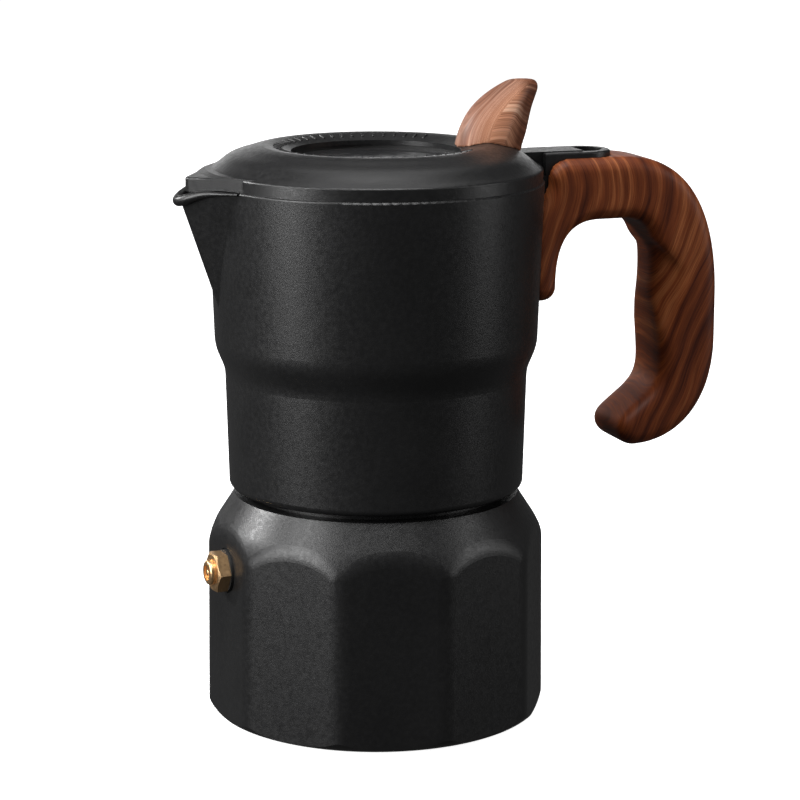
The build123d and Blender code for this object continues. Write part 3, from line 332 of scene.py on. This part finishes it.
def handle_grain(s, x, y, z):
    """Arcs that bulge away from the pot through the arm and run slanting down the grip."""
    fall = s.times(s.subtract(z, ARM_Z), 1 / ARM_BULGE_SPAN)
    bend = s.math("SQRT", s.add(s.times(fall, fall), 1.0))
    return s.add(x, s.times(bend, ARM_BULGE_SLOPE))


def behind_nose(s, x, z):
    """X as it would be if the fin's nose stood upright."""
    rise = s.times(s.subtract(z, NOSE_FOOT_Z), 1 / NOSE_HEIGHT, clamp=True)
    return s.subtract(x, s.times(s.math("POWER", rise, 3.0), NOSE_LEAN))


def knob_grain(s, x, y, z):
    """Lines that follow the fin's nose as it leans back, and turn level across its rear half."""
    front = behind_nose(s, x, z)
    arch = s.times(s.times(y, y), 1 / GRAIN_ARCH)
    level = s.add(s.times(z, GRAIN_FALL), arch)
    share = s.spread(front, *GRAIN_LEVELS_OFF)
    return s.add(front, s.times(s.subtract(level, front), share))


def knob_painted_shade(s, x, z):
    """Painted shade and painted light on the knob: darker along its nose and behind the crease
    of its sides, where less light falls, and lighter on its face, where more falls.
    """
    # Painted shade along the nose, painted light over the rest of the face.
    face = s.mix(s.spread(behind_nose(s, x, z), *NOSE_PAINTED_SHADE), NOSE_PAINTED_SHADE_TINT, FACE_PAINTED_LIGHT_TINT)
    # Painted shade behind the crease, which slants back as it rises.
    slant = s.times(s.subtract(z, CREASE_FOOT_Z), CREASE_SLOPE)
    behind = s.spread(s.subtract(x, slant), *PAINTED_SHADE_BEHIND_CREASE)
    return s.mix(behind, face, PAINTED_SHADE_BEHIND_CREASE_TINT)


FINISHES = {
    "coating": coating(),
    "handle_wood": wood("walnut_handle", handle_grain, 4.6 * MM, WALNUT, 22),
    # The knob's walnut gets painted shade along its nose and behind its crease, and painted
    # light on its face.
    "knob_wood": wood("walnut_knob_painted_shade", knob_grain, 1.7 * MM, WALNUT_FACE, 7, knob_painted_shade),
    "brass": metal("satin_brass", (0.90, 0.58, 0.30), 0.36, 1800, 0.12),
    "aluminium": metal("bare_aluminium", (0.80, 0.80, 0.81), 0.34, 1600, 0.25),
    "steel": metal("plated_steel", (0.62, 0.61, 0.60), 0.26, 2200, 0.12),
    "silicone": silicone("white_silicone", (0.72, 0.71, 0.67), 0.6),
    "black_silicone": silicone("black_silicone", (0.02, 0.02, 0.02), 0.55),
    "glass": smoked_glass(),
}


# ------------------------------------------------------------------ CAD nodes
FINISHED_NODES = {
    "coating": ("boiler_body", "collector_body", "lid_shell"),
    "brass": ("valve_body", "valve_plunger", "valve_retainer"),
    "aluminium": ("funnel_cup", "funnel_tube", "funnel_screen", "filter_plate",
                  "collector_column"),
    "steel": ("valve_spring", "hinge_pin", "handle_screw", "handle_washer", "knob_screw",
              "knob_washer"),
    "silicone": ("gasket",),
    "black_silicone": ("valve_washer", "window_seal", "window_retainer"),
    "glass": ("window_pane",),
    "handle_wood": ("handle_grip",),
    "knob_wood": ("knob",),
}


def finish_node(name, finish):
    """Gives a CAD node its material, and smooth shading between faces that meet gently."""
    mesh = NODES[name].data
    mesh.materials.clear()
    mesh.materials.append(FINISHES[finish])
    for face in mesh.polygons:
        face.material_index = 0
    smooth_but_sharp(mesh)


for finish_name, node_names in FINISHED_NODES.items():
    for node_name in node_names:
        finish_node(node_name, finish_name)


# ------------------------------------------------------------------ wood, sanded
ALONG_X, ALONG_Z = 0, 2
HANDLE_GRID = 0.55 * MM
HANDLE_ROUNDS = 36
HANDLE_CRISP = (58 * MM, 66 * MM)         # along X: as cut nearer the pot, fully sanded beyond
KNOB_GRID = 0.30 * MM
KNOB_ROUNDS = 90
KNOB_CRISP = (140 * MM, 146 * MM)         # along Z: as cut next to the lid, fully sanded above
SANDING_STEP = 0.5


def remeshed(node_name, piece_name, grid_size):
    """The node's own shape as an even grid of faces, in a new piece."""
    source = NODES[node_name]
    rough_mesh = source.data.copy()
    rough = put_in_scene("rough", rough_mesh)
    rough.matrix_world = source.matrix_world
    grid = rough.modifiers.new("grid", "REMESH")
    grid.mode, grid.voxel_size, grid.use_smooth_shade = "VOXEL", grid_size, True
    bpy.context.view_layer.update()
    seen = rough.evaluated_get(bpy.context.evaluated_depsgraph_get())
    mesh = bpy.data.meshes.new_from_object(seen)
    mesh.name = piece_name
    bpy.data.objects.remove(rough)
    bpy.data.meshes.remove(rough_mesh)
    item = put_in_scene(piece_name, mesh)
    item.matrix_world = source.matrix_world
    return item


def sanded(node_name, piece_name, body, grid_size, rounds, axis, crisp):
    """A wooden part with its tool edges sanded soft, except where it meets the metal."""
    item = remeshed(node_name, piece_name, grid_size)
    mesh = item.data
    share = item.vertex_groups.new(name="sanded")
    for vertex in mesh.vertices:
        place = (item.matrix_world @ vertex.co)[axis]
        reach = (place - crisp[0]) / (crisp[1] - crisp[0])
        if reach > 0:
            share.add([vertex.index], min(1.0, reach), "REPLACE")
    sanding = item.modifiers.new("sanding", "SMOOTH")
    sanding.factor, sanding.iterations = SANDING_STEP, rounds
    sanding.vertex_group = share.name
    mesh.materials.clear()
    mesh.materials.append(FINISHES[piece_name])
    smooth_but_sharp(mesh)
    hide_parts(node_name)
    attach(item, body)


sanded("handle_grip", "handle_wood", "collector",
       HANDLE_GRID, HANDLE_ROUNDS, ALONG_X, HANDLE_CRISP)
sanded("knob", "knob_wood", "lid",
       KNOB_GRID, KNOB_ROUNDS, ALONG_Z, KNOB_CRISP)


# ------------------------------------------------------------------ raised ticks on the lid
TICK_COUNT = 44
TICK_LENGTH = 2.3 * MM
TICK_FOOT_WIDTH = 0.682 * MM
TICK_CREST_LENGTH = 0.88 * TICK_LENGTH
TICK_CREST_WIDTH = 0.462 * MM
TICK_HEIGHT = 0.3 * MM
TICK_SINK = 0.15 * MM
TICK_ROUNDING = 0.08 * MM
TICK_RING_RADIUS = 23.4 * MM
TICK_KEEP_OUT = math.radians(38)          # left bare on each side of the knob
UP = Vector((0, 0, 1))


def surface_tree(name):
    """A CAD node's surface, to cast rays at."""
    work = bmesh.new()
    work.from_mesh(NODES[name].data)
    tree = BVHTree.FromBMesh(work)
    work.free()
    return tree


def add_tick(made, lid, angle):
    """One raised bar that points at the window, laid on the lid's surface."""
    outward = Vector((math.cos(angle), math.sin(angle), 0))
    ends = []
    for step in (-TICK_LENGTH / 2, TICK_LENGTH / 2):
        above = outward * (TICK_RING_RADIUS + step) + UP
        ends.append(lid.ray_cast(above, -UP)[0])
    middle = (ends[0] + ends[1]) / 2
    along = (ends[1] - ends[0]).normalized()
    side = Vector((-outward.y, outward.x, 0))
    normal = along.cross(side)
    if normal.z < 0:
        normal = -normal

    def corners(length, width, lift):
        """The four corners of a rectangle over the tick's middle, in order round it."""
        signs = ((-1, -1), (-1, 1), (1, 1), (1, -1))
        return [made.verts.new(middle + normal * lift
                               + along * (lengthwise * length / 2)
                               + side * (sideways * width / 2))
                for lengthwise, sideways in signs]

    foot = corners(TICK_LENGTH, TICK_FOOT_WIDTH, -TICK_SINK)
    crest = corners(TICK_CREST_LENGTH, TICK_CREST_WIDTH, TICK_HEIGHT)
    made.faces.new(foot[::-1])
    made.faces.new(crest)
    for k in range(4):
        j = (k + 1) % 4
        made.faces.new((foot[k], foot[j], crest[j], crest[k]))


def build_ticks():
    """A ring of plain ticks round the window, one piece."""
    lid = surface_tree("lid_shell")
    made = bmesh.new()
    for k in range(TICK_COUNT):
        share = (k + 0.5) / TICK_COUNT
        add_tick(made, lid, TICK_KEEP_OUT + (2 * math.pi - 2 * TICK_KEEP_OUT) * share)
    bmesh.ops.recalc_face_normals(made, faces=made.faces)
    mesh = bpy.data.meshes.new("lid_ticks")
    made.to_mesh(mesh)
    made.free()
    smooth(mesh)
    mesh.materials.append(FINISHES["coating"])
    item = put_in_scene("lid_ticks", mesh)
    rounding = item.modifiers.new("rounding", "BEVEL")
    rounding.width, rounding.segments, rounding.limit_method = TICK_ROUNDING, 2, "ANGLE"
    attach(item, "lid")


build_ticks()


# ------------------------------------------------------------------ stage
FLOOR_MIDDLE = 0.5                        # radius of the one flat face under the pot
FLOOR_RADIUS = 2.2
BACKDROP_BEND = 0.9
BACKDROP_BEND_STEPS = 12
BACKDROP_TOP = 3.0
FLOOR_GLOW = 0.93
SKY_STRENGTH = 0.07
LIT_POINT = Vector((0, 0, 0.08))

# name, azimuth and elevation in degrees, then distance, width and height in metres, then watts
LIGHTS = (
    ("key_left", -77, 20, 0.9, 0.38, 0.8, 10.5),
    ("kicker", -127, 28, 0.8, 0.12, 0.12, 4.0),
    ("fill_right", 60, 16, 1.0, 0.3, 0.8, 2.8),
    ("front_top", -20, 74, 1.0, 0.7, 0.4, 7.0),
    ("top_back", 160, 70, 0.9, 0.6, 0.5, 1.2),
    ("back", 168, 9, 1.3, 1.2, 0.35, 2.0),
)


def turned_mesh(name, outline, steps=96):
    """A smooth mesh turned about Z from (radius, height) points, closed by a flat first ring."""
    made = bmesh.new()
    rings = []
    for radius, height in outline:
        turns = [2 * math.pi * k / steps for k in range(steps)]
        rings.append([made.verts.new((radius * math.cos(turn), radius * math.sin(turn), height))
                      for turn in turns])
    for low, high in zip(rings, rings[1:]):
        for k in range(steps):
            j = (k + 1) % steps
            made.faces.new((low[k], low[j], high[j], high[k]))
    made.faces.new(rings[0][::-1])
    mesh = bpy.data.meshes.new(name)
    made.to_mesh(mesh)
    made.free()
    smooth(mesh)
    return mesh


def build_stage():
    """Pale floor that sweeps up into a round backdrop."""
    outline = [(FLOOR_MIDDLE, 0.0), (FLOOR_RADIUS, 0.0)]
    for k in range(1, BACKDROP_BEND_STEPS + 1):
        turn = math.radians(90 * k / BACKDROP_BEND_STEPS)
        outline.append((FLOOR_RADIUS + BACKDROP_BEND * math.sin(turn),
                        BACKDROP_BEND * (1 - math.cos(turn))))
    outline.append((FLOOR_RADIUS + BACKDROP_BEND, BACKDROP_TOP))
    sweep = put_in_scene("floor", turned_mesh("floor", outline))
    s = Shader("pale_floor")
    s.set(Base_Color=(0.9, 0.9, 0.9, 1), Roughness=0.9, Specular_IOR_Level=0.0,
          Emission_Color=(1, 1, 1, 1), Emission_Strength=FLOOR_GLOW)
    sweep.data.materials.append(s.material)
    sweep.visible_glossy = False
    sweep.visible_diffuse = False


def soft_light(name, azimuth, elevation, distance, width, height, watts):
    """Area light that looks at the pot's middle."""
    lamp = bpy.data.lights.new(name, "AREA")
    lamp.shape = "RECTANGLE"
    lamp.size, lamp.size_y = width, height
    lamp.energy = watts
    item = put_in_scene(name, lamp)
    away = direction(azimuth, elevation)
    item.location = LIT_POINT + distance * away
    item.rotation_mode = "QUATERNION"
    item.rotation_quaternion = away.to_track_quat("Z", "Y")
    item.visible_camera = False


def build_lights():
    for light in LIGHTS:
        soft_light(*light)
    world = bpy.data.worlds.new("studio")
    bpy.context.scene.world = world
    world.use_nodes = True
    background = world.node_tree.nodes["Background"]
    background.inputs["Color"].default_value = (1, 1, 1, 1)
    background.inputs["Strength"].default_value = SKY_STRENGTH


# ------------------------------------------------------------------ camera
CAMERA_TARGET = Vector((0, 0, 76.2 * MM))
CAMERA_DISTANCE = 676 * MM
CAMERA_AZIMUTH = -18.3
CAMERA_ELEVATION = 12.0
SENSOR_WIDTH = 36                         # in millimetres, as Blender takes it
FOCAL_LENGTH = 126                        # in millimetres, as Blender takes it
LENS_SHIFT = 0.03


def build_camera():
    """The photograph's viewing angle."""
    back = direction(CAMERA_AZIMUTH, CAMERA_ELEVATION)
    lens = bpy.data.cameras.new("camera")
    lens.sensor_width, lens.lens = SENSOR_WIDTH, FOCAL_LENGTH
    lens.shift_x = LENS_SHIFT
    item = put_in_scene("camera", lens)
    item.location = CAMERA_TARGET + CAMERA_DISTANCE * back
    item.rotation_mode = "QUATERNION"
    item.rotation_quaternion = (-back).to_track_quat("-Z", "Y")
    bpy.context.scene.camera = item


build_stage()
build_lights()
build_camera()
bpy.context.scene.view_settings.view_transform = "Standard"
